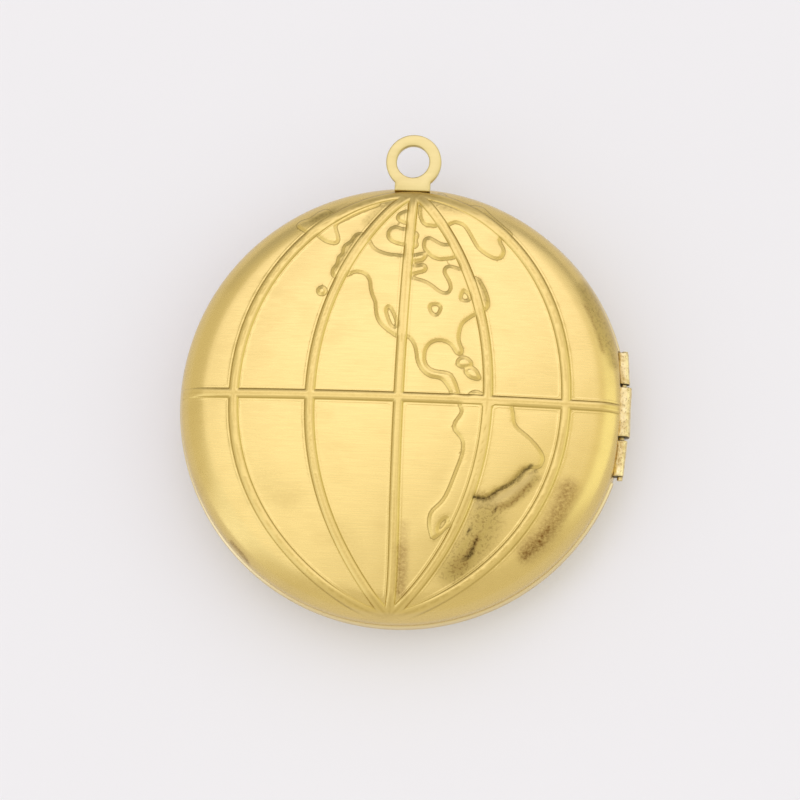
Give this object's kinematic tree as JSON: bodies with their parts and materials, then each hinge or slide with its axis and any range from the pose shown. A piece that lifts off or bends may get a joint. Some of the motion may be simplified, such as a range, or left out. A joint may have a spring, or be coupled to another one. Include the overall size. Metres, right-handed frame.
{
  "type": "round globe locket",
  "caption": "Round hinged brass locket with a raised world map and meridians on its front cover and a flat bail ring.",
  "frame": {"origin": "centre of the flat on the back, where the closed locket lies on a surface", "axes": "+Z out of the front cover, +Y towards the bail, +X towards the hinge"},
  "size_m": [0.0322, 0.0356, 0.0071],
  "materials": {
    "front_brass": "brushed and lightly tarnished",
    "back_brass": "brushed",
    "pin_brass": "drawn wire"
  },
  "bodies": {
    "back": {"back_cover": "back_brass", "hinge_pin": "pin_brass"},
    "front": {"front_cover": "front_brass"}
  },
  "joints": [
    {"name": "cover_hinge", "type": "hinge", "parent": "back", "child": "front", "pos_m": [0.01566, 0, 0.0033], "axis": [0, 1, 0], "range_deg": [0, 170]}
  ]
}
